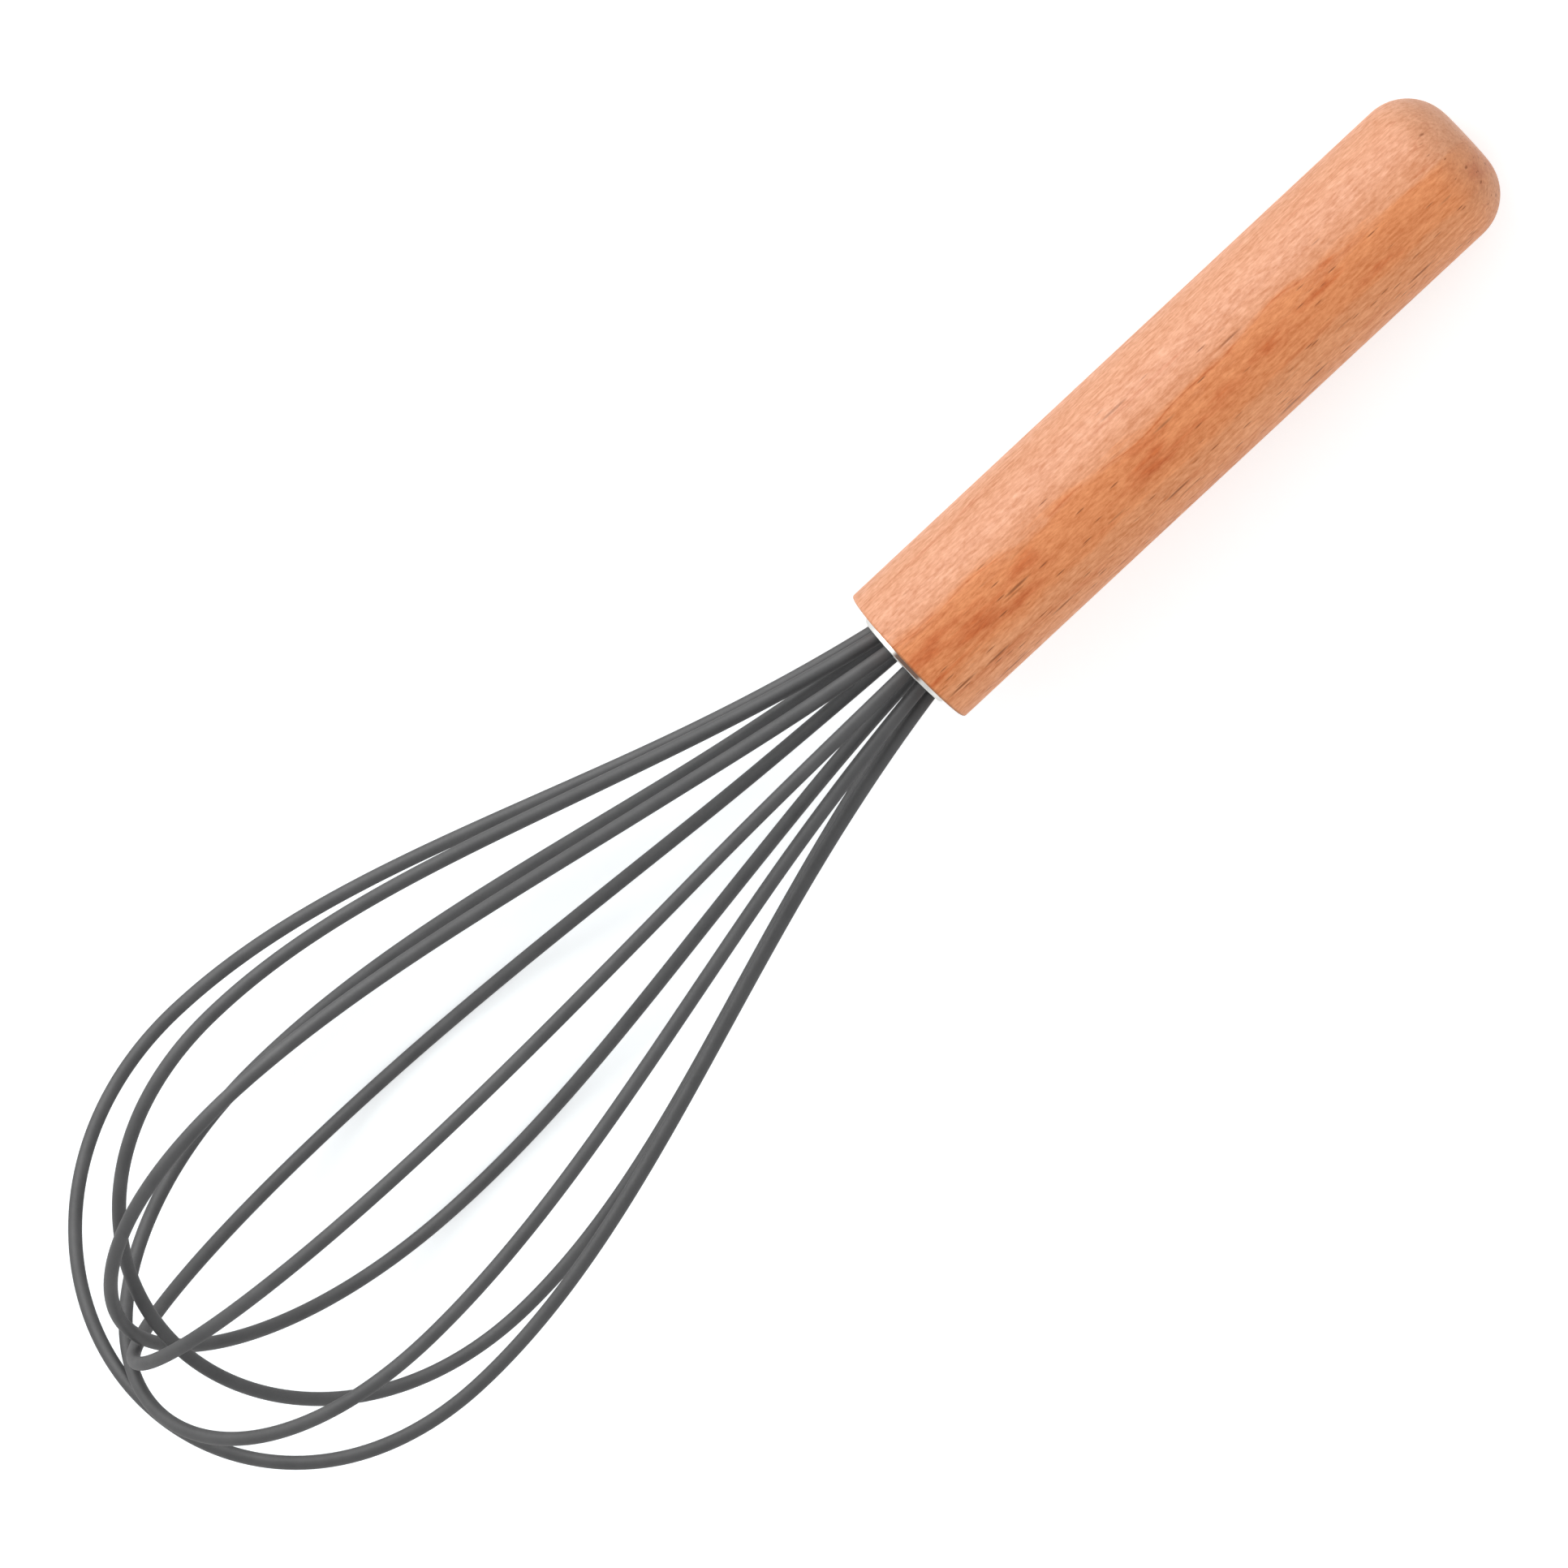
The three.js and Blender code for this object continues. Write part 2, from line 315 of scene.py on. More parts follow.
pattern_turn = [round(math.degrees(angle), 1) for angle in table_to_whisk.to_euler("XYZ")]
print("patterns are turned by", pattern_turn, "degrees")

# %% [markdown]
# Beech: the grain
#
# The handle is beech, sanded and oiled. A picture of wood could be wrapped round it, but then the end
# grain at the butt would be wrong. Solid noise, squeezed across the grain and stretched along it, cuts
# through like the real thing: streaks on the side, dots on the ends. Six layers, from single fibres to
# growth rings, are mixed later.

# %% Grain patterns
NOISE_MIDDLE = 0.5
GRAIN_ROUGHNESS = 0.67
GRAIN_LAYERS = {
    "streaks": dict(width=1.6 * MM, stretch=0.04, detail=5, shift=(0.07, 0, 0.03)),
    "fibres": dict(width=0.4 * MM, stretch=0.08, detail=3, shift=(0.3, 0, 0)),
    "mottle": dict(width=0.4 * MM, stretch=0.28, detail=3, shift=(0, 0.2, 0)),
    "patches": dict(width=2.6 * MM, stretch=0.25, detail=5, shift=(0.5, 0, 0.1)),
    "waves": dict(width=4 * MM, stretch=0.2, detail=1, shift=(0.1, 0.4, 0.3)),
    "rings": dict(width=5 * MM, stretch=0.03, detail=2, shift=(0.2, 0.6, 0.1)),
}


def grain_noise(tree, width, stretch, detail, shift):
    """Noise around zero, stretched along the grain."""
    place = whisk_coordinates(tree, (1, stretch, 1), shift)
    value = noise(tree, place, 1 / width, detail, GRAIN_ROUGHNESS)
    return math_node(tree, "SUBTRACT", value, NOISE_MIDDLE)


def add_patterns(tree, start, patterns, strengths):
    """A value with some patterns added to it, each with its own strength."""
    total = start
    for name, strength in strengths.items():
        total = multiply_add(tree, patterns[name], strength, total)
    return total


print("grain widths in mm:", in_mm(layer["width"] for layer in GRAIN_LAYERS.values()))

# %% [markdown]
# Beech: the pores
#
# Short dark flecks give beech away. They are pores, cut open lengthwise. Each could be a tiny groove in
# the mesh, but there are thousands. A Voronoi texture divides the wood into long cells, each with a
# random colour of its own. The heart of a cell becomes a pore where that colour is red enough. Pores
# are rarer towards the pale side.

# %% Pores
SHORT_PORES = dict(spacing=0.65 * MM, stretch=0.13, shift=(0.11, 0.05, 0.2))
LONG_PORES = dict(spacing=1.3 * MM, stretch=0.09, shift=(0.31, 0.25, 0.4))
PORE_HEART = (0.24, 0.07)
PICK_SOFTNESS = 0.3
RARITY_AT_AXIS = 0.54
RARITY_PER_METRE = 45


def pore_layer(tree, rarity, spacing, stretch, shift):
    """Dark pores in the cells whose own chance beats the rarity."""
    inputs = {"Vector": whisk_coordinates(tree, (1, stretch, 1), shift), "Scale": 1 / spacing}
    cells = add_node(tree, "ShaderNodeTexVoronoi", inputs).outputs
    chance = add_node(tree, "ShaderNodeSeparateColor", {"Color": cells["Color"]}).outputs["Red"]
    picked = rise(tree, math_node(tree, "SUBTRACT", chance, rarity), 0, PICK_SOFTNESS)
    return multiply(tree, rise(tree, cells["Distance"], *PORE_HEART), picked)


def beech_pores(tree, place):
    rarity = multiply_add(tree, place["X"], RARITY_PER_METRE, RARITY_AT_AXIS)
    short = pore_layer(tree, rarity, **SHORT_PORES)
    long = pore_layer(tree, rarity, **LONG_PORES)
    return math_node(tree, "MAXIMUM", short, long)


print("pore spacing in mm:", in_mm((SHORT_PORES["spacing"], LONG_PORES["spacing"])))

# %% [markdown]
# Beech: the orange band
#
# A broad orange band runs along the handle where the saw met a darker growth zone. It could be painted
# as a stripe with soft edges. Here it starts as a soft hump across the handle, and streaks and patches
# are added to the hump before it is read as a colour. So its edges break up along the grain.

# %% Orange band
BAND_SKEW = 0.03
BAND_WANDER = 6 * MM
PALE_EDGE = (6 * MM, 0.5 * MM)
TAN_EDGE = (-9 * MM, -5.2 * MM)
BAND_RAGGEDNESS = {"streaks": 1.0, "patches": 1.1, "fibres": 0.3}


def orange_band(tree, place, patterns):
    """Places across the wandering band, its edge on the pale side, and its ragged hump."""
    skewed = multiply_add(tree, place["Y"], -BAND_SKEW, place["X"])
    wandering = multiply_add(tree, patterns["waves"], BAND_WANDER, skewed)
    pale_edge = rise(tree, wandering, *PALE_EDGE)
    hump = multiply(tree, pale_edge, rise(tree, place["X"], *TAN_EDGE))
    ragged = add_patterns(tree, hump, patterns, BAND_RAGGEDNESS)
    return {"across": wandering, "pale_edge": pale_edge, "hump": ragged}


print("band edges in mm:", in_mm(PALE_EDGE), in_mm(TAN_EDGE))

# %% [markdown]
# Beech: the tones
#
# Beside the band the wood is pale on one side and a duller tan on the other. The pale tone is partly the
# wood's own and partly painted sheen from the lamps on that side, and the pink towards that edge of the
# handle is painted sheen. In the band lie russet blotches. One ramp round the handle could hold these
# tones, but each follows a mask of its own, so they are laid over each other like glazes.

# %% Tones
# The pale tone holds painted sheen as well as the wood's own colour, and the pink is painted sheen.
SHEEN_PINK_BEECH = (0.96, 0.495, 0.305, 1)
PALE_BEECH_AND_SHEEN = (0.92, 0.44, 0.25, 1)
TAN_BEECH = (0.91, 0.405, 0.195, 1)
ORANGE_BEECH = (0.90, 0.355, 0.146, 1)
RUSSET_BEECH = (0.69, 0.18, 0.047, 1)
SHEEN_PINK_SIDE = (6.5 * MM, 10.5 * MM)
TAN_SIDE = (2 * MM, -6 * MM)
ORANGE_HUMP = (0.3, 0.9)
RUSSET_HUMP = (0.95, 1.38)
BLOTCH_WAVES = 1.6


def wood_tones(tree, place, patterns, hump):
    # Pale side: wood tone and painted sheen. Towards its edge: painted sheen in pink.
    tone = blend_colors(tree, rise(tree, place["X"], *SHEEN_PINK_SIDE), PALE_BEECH_AND_SHEEN, SHEEN_PINK_BEECH)
    tone = blend_colors(tree, rise(tree, place["X"], *TAN_SIDE), tone, TAN_BEECH)
    tone = blend_colors(tree, rise(tree, hump, *ORANGE_HUMP), tone, ORANGE_BEECH)
    blotch = multiply_add(tree, patterns["waves"], BLOTCH_WAVES, hump)
    return blend_colors(tree, rise(tree, blotch, *RUSSET_HUMP), tone, RUSSET_BEECH)


print("tones:", SHEEN_PINK_BEECH[:3], PALE_BEECH_AND_SHEEN[:3], TAN_BEECH[:3], ORANGE_BEECH[:3], RUSSET_BEECH[:3])

# %% [markdown]
# Beech: the growth lines
#
# One thin dark growth line, the seam, wanders along the band's pale edge and is broken by gaps. Fainter
# ones lie all through the wood. Lines could be drawn on the surface as curves. But a line is also where
# a slowly changing value passes a given number, and such a line runs on through the wood.

# %% Growth lines
SEAM_PLACE = 2.6 * MM
SEAM_HALF_WIDTH = 0.25 * MM
SEAM_GAPS = (-0.1, 0.1)
SEAM_STRENGTH = 0.8
RING_COUNT = 5
RING_PLACE = 0.5
RING_HALF_WIDTH = 0.06
RING_STRENGTH = 0.35


def line_at(tree, value, place, half_width):
    """1 where a value is at a place, falling to 0 at half a width from it."""
    distance = math_node(tree, "ABSOLUTE", math_node(tree, "SUBTRACT", value, place))
    return rise(tree, distance, half_width, 0)


def growth_lines(tree, tone, patterns, across_band):
    gaps = rise(tree, patterns["patches"], *SEAM_GAPS)
    seam = multiply(tree, line_at(tree, across_band, SEAM_PLACE, SEAM_HALF_WIDTH), gaps)
    tone = blend_colors(tree, multiply(tree, seam, SEAM_STRENGTH), tone, RUSSET_BEECH)
    ring_step = math_node(tree, "FRACT", multiply(tree, patterns["rings"], RING_COUNT))
    ring = line_at(tree, ring_step, RING_PLACE, RING_HALF_WIDTH)
    return blend_colors(tree, multiply(tree, ring, RING_STRENGTH), tone, RUSSET_BEECH)


print("place and half width of the seam in mm:", in_mm((SEAM_PLACE, SEAM_HALF_WIDTH)))

# %% [markdown]
# Beech: fine shade and the two ends
#
# Streaks, fibres and mottling make the wood lighter and darker on a fine scale. At the rounded butt the
# fibres are cut across and look duller, and at the mouth the edge is darker brown, but not on the pale
# side. The ends could be materials of their own. Then the grain would break off where they meet, so the
# one material changes along the handle.

# %% Shade and ends
SHADE_STRENGTHS = {"streaks": 1.0, "fibres": 1.1, "mottle": 1.6}
SHADE_MIDDLE = 0.5
SHADE_DARK = (0.70, 0.53, 0.38)
SHADE_LIGHT = (1, 1, 1)
SHADE_RANGE = (0.1, 0.9)
END_GRAIN = (0.50, 0.27, 0.165, 1)
BUTT_RANGE = (-103 * MM, -111 * MM)
BUTT_STRENGTH = 0.5
MOUTH_BROWN = (0.25, 0.10, 0.04, 1)
MOUTH_RANGE = (-0.5 * MM, -0.1 * MM)
MOUTH_STRENGTH = 0.6


def fine_shade(tree, tone, patterns):
    amount = add_patterns(tree, SHADE_MIDDLE, patterns, SHADE_STRENGTHS)
    shade = two_tones(tree, amount, SHADE_DARK, SHADE_LIGHT, *SHADE_RANGE)
    return blend_colors(tree, 1, tone, shade, "MULTIPLY")


def wood_ends(tree, tone, place, pale_edge):
    butt_end = multiply(tree, rise(tree, place["Y"], *BUTT_RANGE), BUTT_STRENGTH)
    tone = blend_colors(tree, butt_end, tone, END_GRAIN)
    # Darker brown along the mouth's edge, except on the pale side.
    mouth_darkening = multiply(tree, rise(tree, place["Y"], *MOUTH_RANGE), pale_edge)
    return blend_colors(tree, multiply(tree, mouth_darkening, MOUTH_STRENGTH), tone, MOUTH_BROWN)


print("end grain sets in over", in_mm(BUTT_RANGE), "mm, the brown edge over", in_mm(MOUTH_RANGE), "mm")

# %% [markdown]
# Beech: the finish
#
# The oil leaves a soft sheen. It is a little uneven, because the fibres take up oil unevenly. A mask of
# glossy spots could be painted by hand. Here the same mottling that tints the wood also varies its
# roughness, so the paler spots are the shinier ones too. The pores are sunk, which the bump takes care
# of.

# %% Beech finish
PORE_BROWN = (0.26, 0.07, 0.015, 1)
PORE_STRENGTH = 0.8
OIL_ROUGHNESS = 0.5
OIL_UNEVENNESS = {"mottle": -0.5, "fibres": 0.14}
OIL_SPECULAR = 0.32
WOOD_RELIEF = 0.2
WOOD_DEPTH = 0.05 * MM


def beech_color(tree, place, patterns, pores):
    band = orange_band(tree, place, patterns)
    tone = wood_tones(tree, place, patterns, band["hump"])
    tone = growth_lines(tree, tone, patterns, band["across"])
    tone = fine_shade(tree, tone, patterns)
    tone = wood_ends(tree, tone, place, band["pale_edge"])
    return blend_colors(tree, multiply(tree, pores, PORE_STRENGTH), tone, PORE_BROWN)


def beech_finish():
    material, tree, shader = new_material("oiled_beech")
    place = whisk_place(tree)
    patterns = {name: grain_noise(tree, **layer) for name, layer in GRAIN_LAYERS.items()}
    pores = beech_pores(tree, place)
    relief = math_node(tree, "SUBTRACT", patterns["fibres"], pores)
    finish = {"Base Color": beech_color(tree, place, patterns, pores)}
    finish["Roughness"] = add_patterns(tree, OIL_ROUGHNESS, patterns, OIL_UNEVENNESS)
    finish["Specular IOR Level"] = OIL_SPECULAR
    finish["Normal"] = bump(tree, relief, WOOD_RELIEF, WOOD_DEPTH)
    plug_in(tree, shader, finish)
    return material


BEECH = beech_finish()
print("made", BEECH.name, "with", len(BEECH.node_tree.nodes), "nodes")

# %% [markdown]
# Silicone
#
# The covers are plain dark grey silicone. It looks almost even, but not quite: the surface is slightly
# cloudy and matt, and takes a soft light along the side that faces the window. A rough shader with a
# faint, fine mottling does that. Gloss would make it look like wet rubber.

# %% Silicone finish
CLOUD_SCALE = 160
SKIN_SCALE = 2600
DARK_SILICONE = (0.054, 0.0545, 0.056)
LIGHT_SILICONE = (0.075, 0.0755, 0.077)
SILICONE_ROUGHNESS = 0.55
SKIN_ROUGHNESS = 0.14
SILICONE_SPECULAR = 0.52
SKIN_RELIEF = 0.1
SKIN_DEPTH = 0.03 * MM


def silicone_finish():
    material, tree, shader = new_material("grey_silicone")
    place = whisk_coordinates(tree)
    clouds = noise(tree, place, CLOUD_SCALE, detail=3, roughness=0.55)
    skin = noise(tree, place, SKIN_SCALE, detail=2, roughness=0.6)
    finish = {"Base Color": two_tones(tree, clouds, DARK_SILICONE, LIGHT_SILICONE)}
    finish["Roughness"] = multiply_add(tree, skin, SKIN_ROUGHNESS, SILICONE_ROUGHNESS)
    finish["Specular IOR Level"] = SILICONE_SPECULAR
    finish["Normal"] = bump(tree, skin, SKIN_RELIEF, SKIN_DEPTH)
    plug_in(tree, shader, finish)
    return material


SILICONE = silicone_finish()
print("made", SILICONE.name, "with", len(SILICONE.node_tree.nodes), "nodes")

# %% [markdown]
# Painted dark reflection on the ferrule
#
# Where the ferrule leaves the wood, a thin brown line lies on its outside, on part of the upper side
# only. It is painted dark reflection: the wood's shaded face as the steel would mirror it. It could be a
# thin ring of its own, but a painted line has no thickness to model. A mask does it: the outside of the
# sleeve, narrowed down along each axis by a soft limit.

# %% Painted reflection line
# The brown is a painted dark reflection of the wood in the steel.
PAINTED_REFLECTION_BROWN = (0.12, 0.055, 0.03, 1)
REFLECTION_STRENGTH = 0.9
SLEEVE_OUTSIDE = (8 * MM, 8.1 * MM)
REFLECTION_LIMITS = [
    dict(axis="Y", clear=0.9 * MM, full=0.75 * MM),
    dict(axis="X", clear=2.2 * MM, full=1.2 * MM),
    dict(axis="X", clear=-4.2 * MM, full=-3 * MM),
    dict(axis="Z", clear=0, full=2 * MM),
]


def painted_reflection_line(tree, color):
    """A colour with the brown line of painted dark reflection laid over it."""
    place = whisk_place(tree)
    level = whisk_coordinates(tree, (1, 0, 1))
    radius = add_node(tree, "ShaderNodeVectorMath", {0: level}, operation="LENGTH").outputs["Value"]
    dark_reflection = rise(tree, radius, *SLEEVE_OUTSIDE)
    for limit in REFLECTION_LIMITS:
        dark_reflection = multiply(tree, dark_reflection, rise(tree, place[limit["axis"]], limit["clear"], limit["full"]))
    return blend_colors(tree, multiply(tree, dark_reflection, REFLECTION_STRENGTH), color, PAINTED_REFLECTION_BROWN)


print("limits of the oil in mm:", [in_mm((limit["clear"], limit["full"])) for limit in REFLECTION_LIMITS])

# %% [markdown]
# Steel
#
# The ferrule is drawn stainless steel, polished at the rim, with fine marks round it from the polishing
# wheel. The wires inside the covers are spring steel with lengthwise drawing marks. Anisotropic gloss
# could stand for such marks. Stretched noise in colour, roughness and bump shows them close up as well.

# %% Steel finishes
MARK_SCALE = 1500
MARK_SHADE = 0.86
MARK_ROUGHNESS = 0.16
MARK_RELIEF = 0.08
MARK_DEPTH = 0.02 * MM
MARKS_ROUND = (0.2, 1, 0.2)
MARKS_ALONG = (1, 0.1, 1)
FERRULE_GREY = (0.70, 0.70, 0.68)
FERRULE_ROUGHNESS = 0.16
SPRING_GREY = (0.52, 0.52, 0.52)
SPRING_ROUGHNESS = 0.3


def steel_finish(name, grey, roughness, stretch, with_reflection_line):
    material, tree, shader = new_material(name)
    marks = noise(tree, whisk_coordinates(tree, stretch), MARK_SCALE, detail=3, roughness=0.6)
    color = two_tones(tree, marks, tuple(value * MARK_SHADE for value in grey), grey)
    # The ferrule gets the painted dark reflection line in its colour.
    finish = {"Metallic": 1.0, "Base Color": painted_reflection_line(tree, color) if with_reflection_line else color}
    finish["Roughness"] = multiply_add(tree, marks, MARK_ROUGHNESS, roughness)
    finish["Normal"] = bump(tree, marks, MARK_RELIEF, MARK_DEPTH)
    plug_in(tree, shader, finish)
    return material


FERRULE_STEEL = steel_finish("polished_steel", FERRULE_GREY, FERRULE_ROUGHNESS, MARKS_ROUND, with_reflection_line=True)
SPRING_STEEL = steel_finish("spring_steel", SPRING_GREY, SPRING_ROUGHNESS, MARKS_ALONG, with_reflection_line=False)
print("made", FERRULE_STEEL.name, "and", SPRING_STEEL.name)

# %% [markdown]
# Resin
#
# The resin that holds the wire ends shows only to someone who looks into the mouth. It is a cloudy
# amber. Real resin lets some light through, but in the dark of the ferrule that wouldn't show, so
# clouds of two tones and a smooth, uneven gloss are enough.

# %% Resin finish
RESIN_CLOUD_SCALE = 420
DARK_RESIN = (0.33, 0.24, 0.13)
LIGHT_RESIN = (0.50, 0.40, 0.25)
RESIN_ROUGHNESS = 0.22
RESIN_UNEVENNESS = 0.2


def resin_finish():
    material, tree, shader = new_material("cast_resin")
    clouds = noise(tree, whisk_coordinates(tree), RESIN_CLOUD_SCALE, detail=4, roughness=0.6)
    finish = {"Base Color": two_tones(tree, clouds, DARK_RESIN, LIGHT_RESIN)}
    finish["Roughness"] = multiply_add(tree, clouds, RESIN_UNEVENNESS, RESIN_ROUGHNESS)
    plug_in(tree, shader, finish)
    return material


RESIN = resin_finish()
print("made", RESIN.name, "with", len(RESIN.node_tree.nodes), "nodes")

# %% [markdown]
# Turned pieces
#
# A lathe spins a blank and a tool cuts its outline. The same idea makes the mesh: an outline of radius
# and height is repeated round the axis. The Screw modifier can do that too. Rings made in code need no
# modifier, and a point on the axis simply stays one vertex, with triangles round it.

# %% Rings of a turned piece
TURNING_STEPS = 160


def arc(centre, radius, start, end, steps):
    """Points of an arc in (radius, height), angles in degrees."""
    points = []
    for step in range(steps + 1):
        angle = math.radians(start + (end - start) * step / steps)
        points.append((centre[0] + radius * math.cos(angle), centre[1] + radius * math.sin(angle)))
    return points


def add_ring(mesh, radius, height):
    """One turn of vertices round the axis, or a single one on it."""
    if radius == 0:
        return [mesh.verts.new((0, height, 0))]
    ring = []
    for step in range(TURNING_STEPS):
        angle = 2 * math.pi * step / TURNING_STEPS
        ring.append(mesh.verts.new((radius * math.cos(angle), height, radius * math.sin(angle))))
    return ring


def join_rings(mesh, lower, upper):
    """Faces between two rings."""
    for step in range(TURNING_STEPS):
        after = (step + 1) % TURNING_STEPS
        corners = [lower[step % len(lower)], upper[step % len(upper)]]
        corners += [upper[after % len(upper)], lower[after % len(lower)]]
        mesh.faces.new(list(dict.fromkeys(corners)))


print("profiles are turned in", TURNING_STEPS, "steps")

# %% [markdown]
# From rings to a piece
#
# The rings are drawn in the whisk's own axes. The object could be moved to where the whisk lies, but a
# finished piece has its place in its mesh, so the vertices move and the object stays at the origin.
# Smooth shading hides the facets. It would also smear the crisp corners, so edges sharper than an angle
# keep their crease.

# %% Turning a profile


def turned_piece(name, profile, material, crease, closed=False):
    """A piece turned about the whisk's axis. An open profile starts and ends on the axis."""
    mesh = bmesh.new()
    rings = [add_ring(mesh, radius, height) for radius, height in profile]
    pairs = list(zip(rings, rings[1:]))
    if closed:
        pairs.append((rings[-1], rings[0]))
    for lower, upper in pairs:
        join_rings(mesh, lower, upper)
    bmesh.ops.recalc_face_normals(mesh, faces=mesh.faces)
    mesh.transform(whisk_to_table)
    data = bpy.data.meshes.new(name)
    mesh.to_mesh(data)
    mesh.free()
    data.materials.append(material)
    data.shade_smooth()
    data.set_sharp_from_angle(angle=crease)
    return add_object(name, data)


print("helper made:", turned_piece.__name__)

# %% [markdown]
# Handle
#
# The handle is one straight turned grip: flat in the middle of the butt, rounded over at its edge, and
# cut square at the mouth with the corner just broken. A blind hole in the mouth, with the cone of the
# drill at its end, takes the ferrule. Bevels on a cylinder would give nearly the same, but arcs in the
# outline keep the rounding true to size.

# %% Handle
HANDLE_RADIUS = 12 * MM
BUTT_EDGE = 7.8 * MM
BUTT_STEPS = 20
MOUTH_EDGE = 0.4 * MM
MOUTH_STEPS = 6
SOCKET_RADIUS = 8.5 * MM
SOCKET_DEPTH = 31.8 * MM
DRILL_HALF_ANGLE = math.radians(59)
SOCKET_CONE = SOCKET_RADIUS / math.tan(DRILL_HALF_ANGLE)
HANDLE_CREASE = math.radians(40)

butt_centre = (HANDLE_RADIUS - BUTT_EDGE, BUTT_EDGE - HANDLE_LENGTH)
handle_profile = [(0, -HANDLE_LENGTH)]
handle_profile += arc(butt_centre, BUTT_EDGE, -90, 0, BUTT_STEPS)
handle_profile += arc((HANDLE_RADIUS - MOUTH_EDGE, -MOUTH_EDGE), MOUTH_EDGE, 0, 90, MOUTH_STEPS)
handle_profile += [(SOCKET_RADIUS, 0), (SOCKET_RADIUS, -SOCKET_DEPTH), (0, -SOCKET_DEPTH - SOCKET_CONE)]
handle = turned_piece("beech_handle", handle_profile, BEECH, HANDLE_CREASE)
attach(handle, "root")
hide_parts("handle")
print("handle:", len(handle.data.polygons), "faces")

# %% [markdown]
# Ferrule
#
# The thin bright line at the handle's mouth is the rim of the ferrule, a steel sleeve that lines the
# hole. It stands a millimetre proud of the wood, and its rim is rolled round so that it doesn't cut the
# covers. A tube with a Solidify wall would have a square rim, so the whole section is turned instead.

# %% Ferrule
FERRULE_RADIUS = 8.2 * MM
FERRULE_WALL = 0.5 * MM
FERRULE_DEPTH = 31.5 * MM
FERRULE_PROUD = 1 * MM
RIM_STEPS = 12
FERRULE_CREASE = math.radians(50)

rim = FERRULE_WALL / 2
ferrule_profile = [(FERRULE_RADIUS - FERRULE_WALL, -FERRULE_DEPTH), (FERRULE_RADIUS, -FERRULE_DEPTH)]
ferrule_profile += arc((FERRULE_RADIUS - rim, FERRULE_PROUD - rim), rim, 0, 180, RIM_STEPS)
ferrule = turned_piece("steel_ferrule", ferrule_profile, FERRULE_STEEL, FERRULE_CREASE, closed=True)
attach(ferrule, "root")
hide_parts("ferrule")
print("ferrule:", len(ferrule.data.polygons), "faces")

# %% [markdown]
# Where the legs stand
#
# The covered wires stand in a ring just inside the ferrule, and their covers end a little way below its
# rim. The ring could be measured, but it follows from the sleeve: its inside, less half a cover and some
# room. At the end of the covers the ring is smaller, because the legs flare.

# %% Where the legs stand
COVER_DIAMETER = 2.1 * MM
COVER_DEPTH = 6 * MM
LEG_CLEARANCE = 0.3 * MM
FLARE_SLOPE = math.tan(math.radians(11.7))

mouth_ring = FERRULE_RADIUS - FERRULE_WALL - COVER_DIAMETER / 2 - LEG_CLEARANCE
plug_ring = mouth_ring - FLARE_SLOPE * COVER_DEPTH / 2
print("radius of the ring in mm, at the mouth and below:", in_mm((mouth_ring, plug_ring)))

# %% [markdown]
# One leg of a loop
#
# Each loop is one length of wire bent like a hairpin: straight in the handle, flaring out of the mouth,
# fattest two thirds of the way up, and closing over the tip. Its points could be drawn by hand. Bezier
# bends need only a few sizes: where the leg starts, how steeply it flares, and where its belly and its
# crown are.

# %% One leg of a loop
FLARE_STRETCH = 0.396
BELLY_STRETCH = 0.305
SHOULDER_STRETCH = 0.631
CROWN_STRETCH = 0.503
CURVE_STEPS = 60


def bezier(*points):
    """Points along a Bezier bend of any degree, in (radius, height)."""
    places = []
    for step in range(CURVE_STEPS + 1):
        row = [Vector(point) for point in points]
        while len(row) > 1:
            row = [a.lerp(b, step / CURVE_STEPS) for a, b in zip(row, row[1:])]
        places.append(row[0])
    return places


def leg_outline(radius, height, tip):
    """One leg in the loop's plane, from the end of its cover to the tip."""
    flare = (mouth_ring + FLARE_SLOPE * FLARE_STRETCH * height, FLARE_STRETCH * height)
    below_belly = (radius, (1 - BELLY_STRETCH) * height)
    shoulder = (radius, height + SHOULDER_STRETCH * (tip - height))
    bend = bezier((plug_ring, -COVER_DEPTH), (plug_ring, -COVER_DEPTH / 2), (mouth_ring, 0))
    body = bezier((mouth_ring, 0), flare, below_belly, (radius, height))
    crown = bezier((radius, height), shoulder, (CROWN_STRETCH * radius, tip), (0, tip))
    return bend + body[1:] + crown[1:]


print("a leg has three bends of", CURVE_STEPS, "steps")

# %% [markdown]
# The path of a loop
#
# A leg and its mirror image make a loop in a plane. The real loops are bent by hand, so each bows a
# little out of its plane and strays at its tip, and all of them twist where they are squeezed into the
# mouth. A Lattice could bend a flat loop so. In code, each point is moved by a rule that depends on its
# height.

# %% The path of a loop
BALLOON_RADIUS = 38 * MM
LEAN_SLOPE = math.tan(math.radians(0.38))
MOUTH_TWIST = math.radians(4.2)
MOUTH_TWIST_HEIGHT = 40 * MM


def bent_point(loop, point, tip):
    """A point of a flat loop, bowed most halfway up, strayed most at the tip, and laid on the table."""
    height = max(point.y, 0)
    share = height / tip
    angle = math.radians(loop["plane"]) + MOUTH_TWIST * max(1 - height / MOUTH_TWIST_HEIGHT, 0) ** 2
    fullness = 4 * share * (1 - share)
    bow = COVER_DIAMETER * loop["bow"] * fullness
    stray = COVER_DIAMETER * share**2
    sideways = point.x * math.cos(angle) + bow * math.sin(angle) + loop["across"] * stray
    raised = point.x * math.sin(angle) - bow * math.cos(angle) + loop["up"] * stray
    return whisk_to_table @ Vector((sideways + LEAN_SLOPE * height, point.y, raised))


